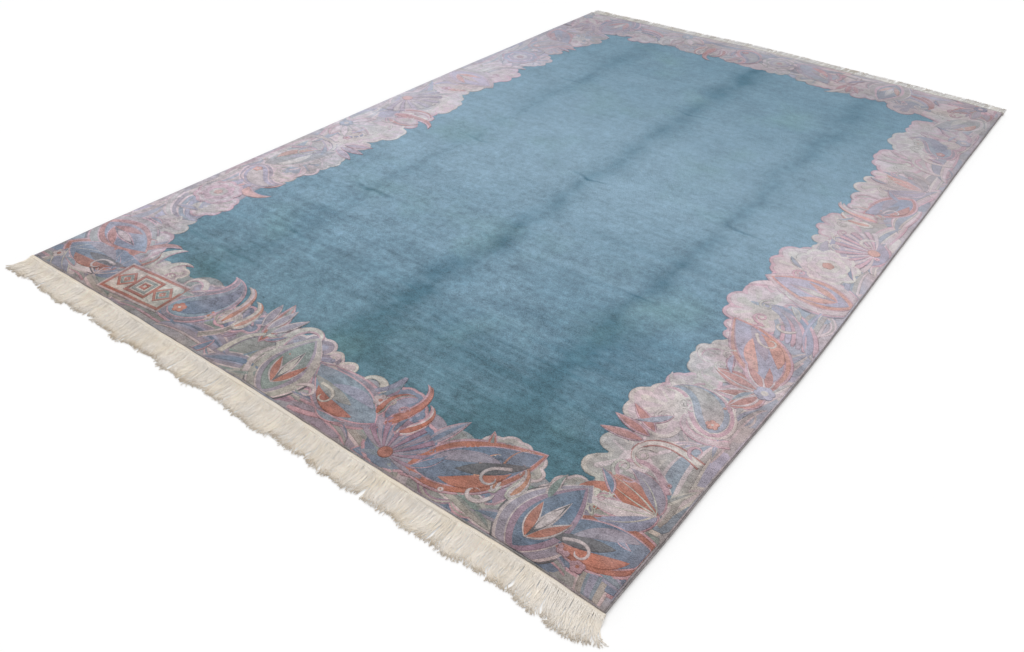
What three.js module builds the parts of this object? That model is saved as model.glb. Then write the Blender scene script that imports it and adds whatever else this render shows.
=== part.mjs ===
// A hand-knotted wool rug lying flat on the floor, with a cotton fringe at both ends.
// Millimetres, +Z up. The origin is on the floor, under the middle of the rug's outline.
// +Y runs along the warps, from the near end to the far end, and +X from the left side to the right.

import * as THREE from 'three';

// Driving dimensions
const gap = 0.3; // between neighbouring pieces
const rug = { width: 2000, length: 2988 }; // over the selvedges and over the pile, at the corners
const pile = { high: 11, shoulder: 6.5, bevel: 4 }; // the shoulder is where its rounded rim begins
const selvedge = { across: 5, high: 7 }; // wool overcast along each long side
const web = { across: 14, high: 8 }; // flat-woven cotton heading at each end
const fringe = { thick: 4, header: 12, strand: 64, bunches: 78 };
const bunch = { root: 0.86, tip: 0.5, slant: 4, lean: 3.5 }; // widths are shares of the pitch

// How far each side stands outside its straight line, from the near end (0) to the far end (1)
const sideBow = [
  { at: 0.0, left: -4, right: -4 },
  { at: 0.1, left: 4, right: 3 },
  { at: 0.32, left: 7, right: 16 },
  { at: 0.62, left: 11, right: 9 },
  { at: 0.85, left: 5, right: 2 },
  { at: 1.0, left: -2, right: 0 },
];

// How far each end stands outside its straight line, from the left side (0) to the right side (1)
const endBow = [
  { at: 0.0, near: 4, far: 0 },
  { at: 0.22, near: -2, far: 14 },
  { at: 0.45, near: -3, far: 32 },
  { at: 0.74, near: 4, far: 10 },
  { at: 0.9, near: 1, far: -4 },
  { at: 1.0, near: 8, far: -18 },
];

// Lengthwise folds left by storage: each is a soft trough between two low ridges.
// centre is its place across the rug, wide the half width of a ridge, high the ridge at mid length.
// At the ends a ridge keeps foldAtEnds of that height.
const folds = [
  { centre: -545, wide: 62, high: 2.4 },
  { centre: 20, wide: 74, high: 3.0 },
  { centre: 530, wide: 58, high: 2.6 },
];

const foldAtEnds = 0.55;

// Faint cross creases, each a single low ridge, strongest at one place across the rug
const creases = [
  { centre: -946, wide: 60, high: 1.5, middle: -150, reach: 520 },
  { centre: -585, wide: 55, high: 1.2, middle: -60, reach: 420 },
  { centre: -57, wide: 70, high: 1.0, middle: 40, reach: 460 },
  { centre: 638, wide: 70, high: 0.8, middle: -420, reach: 520 },
];

// How far the outermost bunches of each fringe swing out past the corners. The swing fades inwards
// over about reach.
const corners = { near: { left: 20, right: 34 }, far: { left: 4, right: 5 }, reach: 70 };

// Widest spacing of the pile's grid lines away from the folds
const coarse = { across: 150, along: 210 };

const halfWidth = rug.width / 2;
const halfLength = rug.length / 2;
const pileHalfWidth = halfWidth - selvedge.across - gap;

// Value of one column of a table at a place between its rows, easing from row to row
function fromTable(rows, column, at) {
  const place = THREE.MathUtils.clamp(at, 0, 1);
  const last = rows.findIndex((row) => row.at >= place);
  if (last <= 0) return rows[0][column];
  const before = rows[last - 1];
  const after = rows[last];
  const step = THREE.MathUtils.smoothstep(place, before.at, after.at);
  return THREE.MathUtils.lerp(before[column], after[column], step);
}

// Moves a point of the straight-sided rug to its place in the bowed outline
function bowed(x, y) {
  const across = (x / halfWidth + 1) / 2;
  const along = (y / halfLength + 1) / 2;
  const left = fromTable(sideBow, 'left', along);
  const right = fromTable(sideBow, 'right', along);
  const near = fromTable(endBow, 'near', across);
  const far = fromTable(endBow, 'far', across);
  return {
    x: x + THREE.MathUtils.lerp(-left, right, across),
    y: y + THREE.MathUtils.lerp(-near, far, along),
  };
}

// A ridge's section: the square of a cosine, 1 at its middle and 0 from one half width away
function ridge(offset, wide) {
  return Math.abs(offset) < wide ? Math.cos((Math.PI * offset) / (2 * wide)) ** 2 : 0;
}

// Height of the rug's underside over the floor
function lift(x, y) {
  const midLength = foldAtEnds + (1 - foldAtEnds) * ridge(y, halfLength);
  const lengthwise = folds.map(
    ({ centre, wide, high }) =>
      high * midLength * (ridge(x - centre - wide, wide) + ridge(x - centre + wide, wide)),
  );
  const crosswise = creases.map(
    ({ centre, wide, high, middle, reach }) =>
      high * ridge(y - centre, wide) * ridge(x - middle, reach),
  );
  return Math.max(...lengthwise, ...crosswise, 0);
}

// Lines across a span: every half of a ridge's half width over each fold, and wider elsewhere
function gridLines(half, rows, ridgesEachSide, widest) {
  const stops = [-half, half];
  for (const { centre, wide } of rows) {
    for (let step = -2 * ridgesEachSide; step <= 2 * ridgesEachSide; step += 1) {
      stops.push(centre + (step * wide) / 2);
    }
  }
  stops.sort((a, b) => a - b);
  const lines = [-half];
  for (const stop of stops.slice(1)) {
    const from = lines[lines.length - 1];
    const cells = Math.max(1, Math.ceil((stop - from) / widest));
    for (let cell = 1; cell <= cells; cell += 1) lines.push(from + ((stop - from) * cell) / cells);
  }
  return lines;
}

const acrossLines = gridLines(pileHalfWidth, folds, 2, coarse.across);
const alongLines = gridLines(halfLength, creases, 1, coarse.along);

function closedGeometry(positions, triangles) {
  const geometry = new THREE.BufferGeometry();
  geometry.setAttribute('position', new THREE.Float32BufferAttribute(positions, 3));
  geometry.setIndex(triangles);
  geometry.computeVertexNormals();
  return geometry;
}

// The knotted pile on its foundation, in one piece: a sheet of one thickness over the folds,
// with an underside, an upright edge up to the shoulder, and a bevel up to the pile's top.
function pileGeometry() {
  const columns = acrossLines.length;
  const rows = alongLines.length;
  const positions = [];
  const triangles = [];

  // One layer of the sheet, with its rim drawn in by inset
  function addLayer(height, inset) {
    const first = positions.length / 3;
    alongLines.forEach((lineY, r) => {
      const rimY = r === 0 || r === rows - 1 ? Math.sign(lineY) : 0;
      acrossLines.forEach((lineX, c) => {
        const rimX = c === 0 || c === columns - 1 ? Math.sign(lineX) : 0;
        const place = bowed(lineX - rimX * inset, lineY - rimY * inset);
        positions.push(place.x, place.y, height + lift(lineX, lineY));
      });
    });
    return first;
  }

  // The rim's vertices in order, counterclockwise seen from above
  function rimOf(first) {
    const rim = [];
    for (let c = 0; c < columns - 1; c += 1) rim.push(first + c);
    for (let r = 0; r < rows - 1; r += 1) rim.push(first + r * columns + columns - 1);
    for (let c = columns - 1; c > 0; c -= 1) rim.push(first + (rows - 1) * columns + c);
    for (let r = rows - 1; r > 0; r -= 1) rim.push(first + r * columns);
    return rim;
  }

  const underside = addLayer(0, 0);
  const top = addLayer(pile.high, pile.bevel);
  for (let r = 0; r < rows - 1; r += 1) {
    for (let c = 0; c < columns - 1; c += 1) {
      const a = r * columns + c;
      const [b, d] = [a + 1, a + columns];
      const e = d + 1;
      triangles.push(top + a, top + b, top + e, top + a, top + e, top + d);
      triangles.push(underside + a, underside + e, underside + b);
      triangles.push(underside + a, underside + d, underside + e);
    }
  }

  const lowRim = rimOf(underside);
  const topRim = rimOf(top);
  const shoulderRim = lowRim.map((vertex) => {
    const [x, y, z] = positions.slice(3 * vertex, 3 * vertex + 3);
    positions.push(x, y, z + pile.shoulder);
    return positions.length / 3 - 1;
  });
  for (const [lower, upper] of [[lowRim, shoulderRim], [shoulderRim, topRim]]) {
    lower.forEach((vertex, i) => {
      const next = (i + 1) % lower.length;
      triangles.push(vertex, lower[next], upper[next], vertex, upper[next], upper[i]);
    });
  }
  return closedGeometry(positions, triangles);
}

// A strip of oval section with a narrow flat underneath, carried along a row of plan points.
// Its underside follows the points' own height.
function stripGeometry(points, { across, high }) {
  const sides = 8;
  const middleShare = 0.35; // height of the oval's middle over its flat, as a share of its own height
  const flat = middleShare * high;
  const section = new THREE.EllipseCurve(0, 0, across / 2, high - flat).getPoints(sides);
  const positions = [];
  const triangles = [];
  points.forEach((point, i) => {
    const before = points[Math.max(i - 1, 0)];
    const after = points[Math.min(i + 1, points.length - 1)];
    const ahead = new THREE.Vector2(after.x - before.x, after.y - before.y).normalize();
    for (const { x, y } of section.slice(0, sides)) {
      positions.push(point.x + ahead.y * x, point.y - ahead.x * x, point.z + flat + Math.max(y, -flat));
    }
  });

  const at = (station, side) => station * sides + (side % sides);
  const end = points.length - 1;
  for (let station = 0; station < end; station += 1) {
    for (let side = 0; side < sides; side += 1) {
      const [a, b] = [at(station, side), at(station, side + 1)];
      const [c, d] = [at(station + 1, side), at(station + 1, side + 1)];
      triangles.push(a, d, b, a, c, d);
    }
  }
  for (let side = 1; side < sides - 1; side += 1) {
    triangles.push(at(0, 0), at(0, side), at(0, side + 1));
    triangles.push(at(end, 0), at(end, side + 1), at(end, side));
  }
  return closedGeometry(positions, triangles);
}

// The overcast edge of one long side: side is -1 on the left and 1 on the right
function selvedgeGeometry(side) {
  const middle = side * (pileHalfWidth + gap + selvedge.across / 2);
  const points = alongLines.map((y) => {
    const place = bowed(middle, y);
    return new THREE.Vector3(place.x, place.y, lift(side * pileHalfWidth, y));
  });
  return stripGeometry(points, selvedge);
}

// Lines across an end, from one selvedge's outer edge to the other's
const endLines = [-halfWidth, ...acrossLines, halfWidth];

// The woven heading of one end: side is -1 at the near end and 1 at the far end
function webGeometry(side) {
  const middle = side * (halfLength + gap + web.across / 2);
  const points = endLines.map((x) => {
    const place = bowed(x, middle);
    return new THREE.Vector3(place.x, place.y, lift(x, side * halfLength));
  });
  return stripGeometry(points, web);
}

// The fringe of one end, as one comb: a header along the web, and a tooth for each bunch of warps.
// Bunches differ a little in reach and lean, and the outermost swing out past the corners.
function fringeGeometry(side, spread) {
  const root = halfLength + 2 * gap + web.across;
  const pitch = rug.width / fringe.bunches;
  const plan = (x, out) => {
    const place = bowed(x, side * (root + out));
    return new THREE.Vector2(place.x, place.y);
  };
  const swing = (x) =>
    spread.right * Math.exp((x - halfWidth) / corners.reach) -
    spread.left * Math.exp((-x - halfWidth) / corners.reach);

  const teeth = [];
  for (let i = 0; i < fringe.bunches; i += 1) {
    const x = -halfWidth + (i + 0.5) * pitch;
    const uneven = 0.05 * Math.sin(2.3 * i + side) + 0.06 * Math.sin(0.37 * i) - 0.06;
    const out = fringe.strand * (1 + uneven);
    const tip = x + swing(x) + bunch.lean * Math.sin(1.7 * i + 2 * side);
    const [rootHalf, tipHalf] = [(bunch.root * pitch) / 2, (bunch.tip * pitch) / 2];
    teeth.push(plan(x - rootHalf, fringe.header), plan(tip - tipHalf, out - bunch.slant));
    teeth.push(plan(tip + tipHalf, out), plan(x + rootHalf, fringe.header));
  }
  const outline = [...teeth, ...[...endLines].reverse().map((x) => plan(x, 0))];
  return new THREE.ExtrudeGeometry(new THREE.Shape(outline), {
    depth: fringe.thick,
    bevelEnabled: false,
  });
}

function piece(name, geometry, color, roughness) {
  const material = new THREE.MeshStandardMaterial({ color, roughness, metalness: 0 });
  const mesh = new THREE.Mesh(geometry, material);
  mesh.name = name;
  return mesh;
}

const wool = { field: 0x7f9fae, edge: 0x5d5a60 };
const cotton = { web: 0xd5cbbf, fringe: 0xd7cfc1 };

const pieces = new THREE.Group();
pieces.add(
  piece('rug_body', pileGeometry(), wool.field, 0.95),
  piece('selvedge_left', selvedgeGeometry(-1), wool.edge, 0.9),
  piece('selvedge_right', selvedgeGeometry(1), wool.edge, 0.9),
  piece('end_web_near', webGeometry(-1), cotton.web, 0.9),
  piece('end_web_far', webGeometry(1), cotton.web, 0.9),
  piece('fringe_near', fringeGeometry(-1, corners.near), cotton.fringe, 0.85),
  piece('fringe_far', fringeGeometry(1, corners.far), cotton.fringe, 0.85),
);

// The outline bows unevenly, so the whole rug is set with the middle of its box over the origin
const middle = new THREE.Box3().setFromObject(pieces).getCenter(new THREE.Vector3());
pieces.position.set(-middle.x, -middle.y, 0);

const woolRug = new THREE.Group();
woolRug.add(pieces);

export default woolRug;
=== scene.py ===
# A hand-knotted wool rug on a pale floor: plain field, carved border, cotton fringes.
import itertools
import math
import bpy
import numpy as np
from mathutils import Matrix, Vector


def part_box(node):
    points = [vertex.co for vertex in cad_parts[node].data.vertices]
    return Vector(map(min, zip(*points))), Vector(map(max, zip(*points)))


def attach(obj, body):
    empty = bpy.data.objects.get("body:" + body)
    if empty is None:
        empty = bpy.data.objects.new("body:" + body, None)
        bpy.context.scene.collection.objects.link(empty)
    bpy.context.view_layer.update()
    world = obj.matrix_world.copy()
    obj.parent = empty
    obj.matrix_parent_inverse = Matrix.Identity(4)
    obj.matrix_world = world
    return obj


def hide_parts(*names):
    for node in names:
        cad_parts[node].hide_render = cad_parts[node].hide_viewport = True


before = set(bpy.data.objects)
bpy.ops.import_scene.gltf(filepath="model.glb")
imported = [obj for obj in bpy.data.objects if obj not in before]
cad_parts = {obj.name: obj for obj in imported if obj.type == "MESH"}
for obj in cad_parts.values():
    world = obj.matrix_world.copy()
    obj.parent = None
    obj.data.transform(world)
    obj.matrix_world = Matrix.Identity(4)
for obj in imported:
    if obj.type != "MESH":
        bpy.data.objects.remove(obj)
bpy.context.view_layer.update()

random = np.random.default_rng(12)
uniform, choice = random.uniform, random.choice


# The straight-sided rug is worked out first, then bowed and lifted to the way it lies.

rugShape = {
    "halfWidth": 1.0,  # over the selvedges, at the corners
    "halfLength": 1.494,  # of the pile, at the corners
    "pileHalfWidth": 0.9947,
    "gap": 0.0003,  # from the pile's end to where the fringe is measured from
    "thickness": 0.011,
    "shoulder": 0.0094,  # height where the pile's rounded rim begins
    "rim": 0.0024,  # width of that rounding
    "foldAtEnds": 0.55,  # height of the folds there, as a share of their middle's
}

# how far each side bows out, in metres, from the near end at 0 to the far end at 1
sideBow = {
    "at":    [0.0, 0.1, 0.32, 0.62, 0.85, 1.0],
    "left":  [-0.004, 0.004, 0.007, 0.011, 0.005, -0.002],
    "right": [-0.004, 0.003, 0.016, 0.009, 0.002, 0.0],
}

# how far each end bows out, from the left side at 0 to the right side at 1
endBow = {
    "at":   [0.0, 0.22, 0.45, 0.74, 0.9, 1.0],
    "near": [0.004, -0.002, -0.003, 0.004, 0.001, 0.008],
    "far":  [0.0, 0.014, 0.032, 0.010, -0.004, -0.018],
}

# lengthwise folds, each a pair of ridges side by side: where they meet, half width, height
folds = {
    "centre": [-0.545, 0.020, 0.530],
    "wide":   [0.062, 0.074, 0.058],
    "high":   [0.0024, 0.0030, 0.0026],
}

# ridges across: centre along the rug, half width, height, and middle and half reach across it
creases = {
    "centre": [-0.946, -0.585, -0.057, 0.638],
    "wide":   [0.060, 0.055, 0.070, 0.070],
    "high":   [0.0015, 0.0012, 0.0010, 0.0008],
    "middle": [-0.150, -0.060, 0.040, -0.420],
    "reach":  [0.520, 0.420, 0.460, 0.520],
}


# value between table rows, easing from one to the next: a + (b - a)(3f^2 - 2f^3)
def eased(at, stops, values):
    stops, values = np.asarray(stops), np.asarray(values)
    row = np.clip(np.searchsorted(stops, at, side="right") - 1, 0, len(stops) - 2)
    f = np.clip((at - stops[row]) / (stops[row + 1] - stops[row]), 0, 1)
    return values[row] + (values[row + 1] - values[row]) * f * f * (3 - 2 * f)


# x moves by the mix of the two sides' bows, y by the mix of the two ends' bows
def bowed(x, y):
    across = (x / rugShape["halfWidth"] + 1) / 2
    along = (y / rugShape["halfLength"] + 1) / 2
    left, right = [eased(along, sideBow["at"], sideBow[side]) for side in ("left", "right")]
    near, far = [eased(across, endBow["at"], endBow[end]) for end in ("near", "far")]
    return x - left + (left + right) * across, y - near + (near + far) * along


# squared cosine: 1 in the middle, 0 from one half width away
def ridge(offset, wide):
    return np.where(np.abs(offset) < wide, np.cos(np.pi * offset / (2 * wide)) ** 2, 0)


# height of the underside: the highest of the paired ridges and the single cross ridges
def lift(x, y):
    ends = rugShape["foldAtEnds"]
    midLength = ends + (1 - ends) * ridge(y, rugShape["halfLength"])
    height = np.zeros_like(x)
    for centre, wide, high in zip(folds["centre"], folds["wide"], folds["high"]):
        pair = ridge(x - centre - wide, wide) + ridge(x - centre + wide, wide)
        height = np.maximum(height, high * midLength * pair)
    for centre, wide, high, middle, reach in zip(*creases.values()):
        height = np.maximum(height, high * ridge(y - centre, wide) * ridge(x - middle, reach))
    return height


# rounded rim: shoulder + (top - shoulder) sqrt(1 - (1 - d / rim)^2), d the distance to the edge
def pileTop(x, y):
    edge = np.minimum(rugShape["pileHalfWidth"] - np.abs(x), rugShape["halfLength"] - np.abs(y))
    inward = np.clip(edge / rugShape["rim"], 0, 1)
    rise = rugShape["thickness"] - rugShape["shoulder"]
    return lift(x, y) + rugShape["shoulder"] + rise * np.sqrt(1 - (1 - inward) ** 2)


# the frame's own box says where the middle of the bowed outline lies
def outlineShift():
    tries = 2001
    t = np.linspace(-1, 1, tries)
    w, l = rugShape["pileHalfWidth"], rugShape["halfLength"]
    sideX = [bowed(side * w + 0 * t, t * l)[0] for side in (-1, 1)]
    endY = [bowed(t * w, end * l + 0 * t)[1] for end in (-1, 1)]
    low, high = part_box("rug_body")
    middleX = (sideX[0].min() + sideX[1].max()) / 2
    middleY = (endY[0].min() + endY[1].max()) / 2
    return (low.x + high.x) / 2 - middleX, (low.y + high.y) / 2 - middleY


shift = outlineShift()


# plan point and height over the floor, to its place in the frame
def placed(x, y, z):
    bowX, bowY = bowed(x, y)
    return np.stack([bowX + shift[0], bowY + shift[1], z], axis=-1)


print("outline shift", [round(value * 1000, 2) for value in shift], "mm")


# Grids of rows and columns become closed skins, one for each grid: the columns run round, and
# each end row closes on its own middle. Rows go ahead, or outwards and down, and the columns
# counterclockwise.
def closedSkins(points, flipped=False):
    skins, rows, columns = points.shape[:3]
    grid = np.arange(rows * columns).reshape(rows, columns)
    ahead = np.roll(grid, -1, axis=1)
    quads = np.stack([grid[:-1], grid[1:], ahead[1:], ahead[:-1]], axis=-1).reshape(-1, 4)
    first = np.stack([np.full(columns, rows * columns), grid[0], ahead[0]], axis=-1)
    last = np.stack([np.full(columns, rows * columns + 1), ahead[-1], grid[-1]], axis=-1)
    tris = np.concatenate([first, last])
    if flipped:
        quads, tris = quads[:, ::-1], tris[:, ::-1]
    starts = (np.arange(skins) * (rows * columns + 2))[:, None, None]
    middles = points[:, [0, -1]].mean(axis=2)
    vertices = np.concatenate([points.reshape(skins, -1, 3), middles], axis=1)
    return vertices.reshape(-1, 3), (quads + starts).reshape(-1, 4), (tris + starts).reshape(-1, 3)


# values given for each row and column, with those of the two end middles after them
def skinValues(values):
    return np.concatenate([values.ravel(), values[:1].mean(1), values[-1:].mean(1)])


# joins skins into one mesh object that rides on the rug
def makePiece(name, skins, values=None):
    starts = np.cumsum([0] + [len(skin[0]) for skin in skins[:-1]])
    vertices = np.concatenate([skin[0] for skin in skins])
    quads = np.concatenate([skin[1] + start for skin, start in zip(skins, starts)])
    tris = np.concatenate([skin[2] + start for skin, start in zip(skins, starts)])
    loops = np.concatenate([quads.ravel(), tris.ravel()]).astype(np.int32)
    sizes = np.concatenate([np.full(len(quads), 4), np.full(len(tris), 3)])
    mesh = bpy.data.meshes.new(name)
    mesh.vertices.add(len(vertices))
    mesh.vertices.foreach_set("co", vertices.astype(np.float32).ravel())
    mesh.loops.add(len(loops))
    mesh.loops.foreach_set("vertex_index", loops)
    mesh.polygons.add(len(sizes))
    mesh.polygons.foreach_set("loop_start", (np.cumsum(sizes) - sizes).astype(np.int32))
    mesh.update(calc_edges=True)
    mesh.validate()
    mesh.shade_smooth()
    for label, numbers in (values or {}).items():
        layer = mesh.attributes.new(label, "FLOAT", "POINT")
        layer.data.foreach_set("value", np.concatenate(numbers).astype(np.float32))
    piece = bpy.data.objects.new(name, mesh)
    bpy.context.scene.collection.objects.link(piece)
    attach(piece, "root")
    return piece


# Every shape of the border is a low pad of pile, cut to its outline and carved along its rim.
# Motifs are drawn in millimetres, u along the side and v inwards, then set on the rug.

padShape = {
    "first": 0.00040,  # height of the lowest pad over the pile
    "step": 0.00019,  # from one layer of a motif to the next
    "scatter": 0.00013,  # no two pads lie level: each is up to this much higher
    "climb": 0.00006,  # a path's end over its start, so that a curl clears itself
    "bevel": 0.0030,  # width of the carved rim
    "carve": 0.00034,  # depth of the carved rim
    "foot": 0.0008,  # how far a pad's foot reaches into the pile
    "ring": 0.026,  # widest ring or step across a pad
    "edge": 0.0026,  # the lowest pads end this far from the pile's edge
    "stair": 0.0004,  # and each layer this much farther in
    "soft": 0.008,  # the painted shade of the carved rim fades out over this width along that edge
    "leastReach": 0.0005,  # from a pad's middle to where the rug's edge cuts it off
    "leastInner": 0.35,  # share of a narrow pad's reach that stays inside its carved rim
    "mostBevel": 0.55,  # share of a narrow ribbon's half width that its carved rim may take
    "leastHalf": 0.35,  # half width of a ribbon's tip, in millimetres
    "sharpest": 0.5,  # cosine of half the sharpest turn that is widened in full
    "leastLobes": 2.0,  # reach of united discs where none is left, in millimetres
    "shorter": 1.5,  # a nested band is this many times its inset shorter
    "every": 16.0,  # longest step of a straight leg, in millimetres
}

yarnSkins = {}
padCount = itertools.count()
goldenShare = 0.618034
tiny = 1e-9


# farthest x and y that a layer's pads reach
def padLimit(order):
    outline = np.array([rugShape["pileHalfWidth"], rugShape["halfLength"]])
    return outline - padShape["edge"] - order * padShape["stair"]


# one pad: skin, carve mask (where its rim gets painted shade) and its own tone go to the list of
# its yarn, which is that of the role in the motif's tones, or is given by name
def addPad(draw, role, plan, height, carve):
    x, y = plan[..., 0], plan[..., 1]
    inward = (padLimit(0) - np.abs(plan)).min(axis=-1)
    # the rim's painted shade fades out towards the rug's edge
    carve = carve * np.clip(inward / padShape["soft"], 0, 1)
    skin = closedSkins(placed(x, y, pileTop(x, y) + height)[None], draw["mirror"] < 0)
    count = len(skin[0])
    tone = np.full(count, uniform(-1, 1))
    yarn = draw["tones"].get(role, role)
    yarnSkins.setdefault(yarn, []).append((skin, skinValues(carve), tone))


# local millimetres to the straight-sided rug: mirror, scale and turn, then move to the origin
def onRug(draw, u, v):
    turn, size = math.radians(draw["angle"]), draw["scale"] / 1000
    u = u * draw["mirror"] * size
    v = v * size
    x = draw["origin"][0] + u * math.cos(turn) - v * math.sin(turn)
    y = draw["origin"][1] + u * math.sin(turn) + v * math.cos(turn)
    return np.stack([x, y], axis=-1)


# the layer's height, and a share of the scatter that never repeats: multiples of the golden
# section
def padHeight(order):
    share = next(padCount) * goldenShare % 1
    return padShape["first"] + order * padShape["step"] + share * padShape["scatter"]


# A pad round a centre: its edge is at radius(angle) times the direction, cut off at the rug's
# edge, and its rings are shares of that radius with the carved rim outside them.
def starPad(draw, role, centre, radius, order, count):
    angle = np.linspace(0, 2 * np.pi, count, endpoint=False)
    reach = radius(angle) * draw["scale"] / 1000
    middle = onRug(draw, np.float64(centre[0]), np.float64(centre[1]))
    limit = padLimit(order)
    if (np.abs(middle) > limit).any():
        return
    tip = onRug(draw, centre[0] + np.cos(angle), centre[1] + np.sin(angle))
    way = (tip - middle) * 1000 / draw["scale"]
    way = np.where(np.abs(way) < tiny, tiny, way)
    free = (np.sign(way) * limit - middle) / way
    reach = np.minimum(reach, np.maximum(free.min(axis=1), padShape["leastReach"]))
    inner = np.maximum(reach - padShape["bevel"], reach * padShape["leastInner"])
    rings = max(1, math.ceil(inner.max() / padShape["ring"]))
    shares = np.linspace(0, 1, rings + 1)[1:, None]
    radii = np.concatenate([shares * inner, reach[None], reach[None]])
    top = padHeight(order)
    levels = [top] * rings + [top - padShape["carve"], -padShape["foot"]]
    height = np.repeat(np.array(levels)[:, None], count, axis=1)
    carve = np.repeat(np.array([0.0] * rings + [1, 1])[:, None], count, axis=1)
    addPad(draw, role, middle + radii[..., None] * way, height, carve)


# A pad along a path: at each point its section is width either side of the path, carved at both
# rims. Where the path turns sharply the section is widened by 1 / cos(half the turn).
def ribbonPad(draw, role, path, width, order):
    points = onRug(draw, path[:, 0], path[:, 1])
    step = np.diff(points, axis=0)
    step /= np.linalg.norm(step, axis=1, keepdims=True)
    after = np.concatenate([step, step[-1:]])
    ahead = np.concatenate([step[:1], step]) + after
    ahead /= np.linalg.norm(ahead, axis=1, keepdims=True)
    miter = 1 / np.clip((ahead * after).sum(axis=1), padShape["sharpest"], 1)
    left = np.stack([-ahead[:, 1], ahead[:, 0]], axis=-1) * draw["mirror"]
    half = np.maximum(width, padShape["leastHalf"]) * miter * draw["scale"] / 1000
    inner = half - np.minimum(padShape["bevel"], half * padShape["mostBevel"])
    spans = 1 if inner.max() < padShape["ring"] / 2 else 3
    rim = np.array([-1, -1] + [0] * (spans + 1) + [1, 1], float)
    within = np.array([0, 0, *np.linspace(-1, 1, spans + 1), 0, 0])
    across = half[:, None] * rim + inner[:, None] * within
    section = padHeight(order) - padShape["carve"] * np.abs(rim)
    section[[0, -1]] = -padShape["foot"]
    climb = np.linspace(0, padShape["climb"], len(points))[:, None]
    height = section + climb * (section > 0)
    plan = points[:, None] + across[..., None] * left[:, None]
    plan = np.clip(plan, -padLimit(order), padLimit(order))
    addPad(draw, role, plan, height, np.abs(rim) + 0 * climb)


# a path of straight legs, with a point at least every few millimetres
def straightened(corners, wide):
    corners, every = np.array(corners, float), padShape["every"]
    path = [np.linspace(a, b, max(1, math.ceil(np.linalg.norm(b - a) / every)), endpoint=False)
            for a, b in zip(corners[:-1], corners[1:])]
    path = np.concatenate(path + [corners[-1:]])
    return path, np.full(len(path), wide)


# disc: the same reach at every angle
def disc(reach):
    return lambda angle: np.full_like(angle, reach)


# petals: reach (1 - depth + depth |cos(petals / 2 (angle - turn))|^0.6)
def petals(reach, count, depth, turn=0.0):
    half = count / 2
    return lambda angle: reach * (1 - depth + depth * np.abs(np.cos(half * (angle - turn))) ** 0.6)


# united discs: the farthest of c.u + sqrt(r^2 - (c x u)^2), for discs at c of radius r less inset
def united(discs, inset):
    def radius(angle):
        along, aside = np.cos(angle)[:, None], np.sin(angle)[:, None]
        u, v, r = discs[:, 0], discs[:, 1], discs[:, 2] - inset
        cross = u * aside - v * along
        inside = r ** 2 - cross ** 2
        far = u * along + v * aside + np.sqrt(np.maximum(inside, 0))
        return np.maximum(np.where(inside > 0, far, 0).max(axis=1), padShape["leastLobes"])
    return radius


# a path that turns as it goes: its heading is the first one + bend t + curl t^2, in degrees
def wander(start, heading, length, bend, curl, count):
    t = (np.arange(count - 1) + 0.5) / (count - 1)
    turn = np.radians(heading + bend * t + curl * t ** 2)
    steps = np.stack([np.cos(turn), np.sin(turn)], axis=-1) * length / (count - 1)
    return np.array(start) + np.concatenate([np.zeros((1, 2)), np.cumsum(steps, axis=0)])


# widths along a path, t from 0 at its start to 1 at its tip
def widths(kind, wide, count):
    t = np.linspace(0, 1, count)
    if kind == "leaf":  # sin(pi t) leaning to the base
        return wide * np.sin(np.pi * t ** 0.85) ** 0.85
    if kind == "flame":  # full near the root, drawn out to the tip
        return wide * np.minimum(1, 0.35 + 4 * t) * (1 - t) ** 0.75
    if kind == "drop":  # round head, then a tapering tail
        head = np.sqrt(np.clip(1 - (1 - t / 0.34) ** 2, 0, 1))
        return wide * np.where(t < 0.34, head, np.cos(np.pi / 2 * (t - 0.34) / 0.66) ** 1.1)
    if kind == "vine":  # slowly thinner, with a round end
        return wide * (1 - 0.55 * t) * np.minimum(1, 9 * (1 - t) + 0.12) ** 0.5
    return wide * np.minimum(1, 8 * np.minimum(t, 1 - t) + 0.25) ** 0.5  # band, round ends


# Bands of one outline, each given by its inset and its role, and drawn in by that inset: start
# moves ahead, length and width shrink.
def nested(draw, start, heading, length, wide, kind, bands, order, bend=0.0, curl=0.0, count=18):
    ahead = np.array([math.cos(math.radians(heading)), math.sin(math.radians(heading))])
    for place, (inset, role) in enumerate(bands):
        keep = 1 - padShape["shorter"] * inset / length
        path = wander(np.array(start) + ahead * inset, heading + bend * inset / length,
                      length * keep, bend * keep, curl * keep, count)
        ribbonPad(draw, role, path, widths(kind, wide - inset, count), order + place)


cloudMiddle = 192  # from the rug's edge, in millimetres


# scalloped cloud at the inner edge: nested united discs, set round a fan, with a scroll in two
# of its lobes
def cloud(draw, lobes):
    fan = np.radians(np.linspace(-32, 212, lobes) + uniform(-7, 7, lobes))
    out, size = uniform(48, 66, lobes), uniform(24, 36, lobes)
    discs = np.stack([out * np.cos(fan) * 1.15, out * np.sin(fan) * 0.8, size], axis=1)
    discs = np.concatenate([discs, [[0, -12, 52]]])
    for inset, role, order in ((0, "line", 2), (8, "fill", 3), (21, "inner", 4)):
        starPad(draw, role, (0, cloudMiddle), united(discs, inset), order, 64)
    for u, heading, way, role in ((-52, 70, -1, "light"), (50, 110, 1, "line")):
        nested(draw, (u, 176), heading, 108, 4.2, "vine", [(0, role)], 6, 60 * way, 470 * way)


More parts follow.
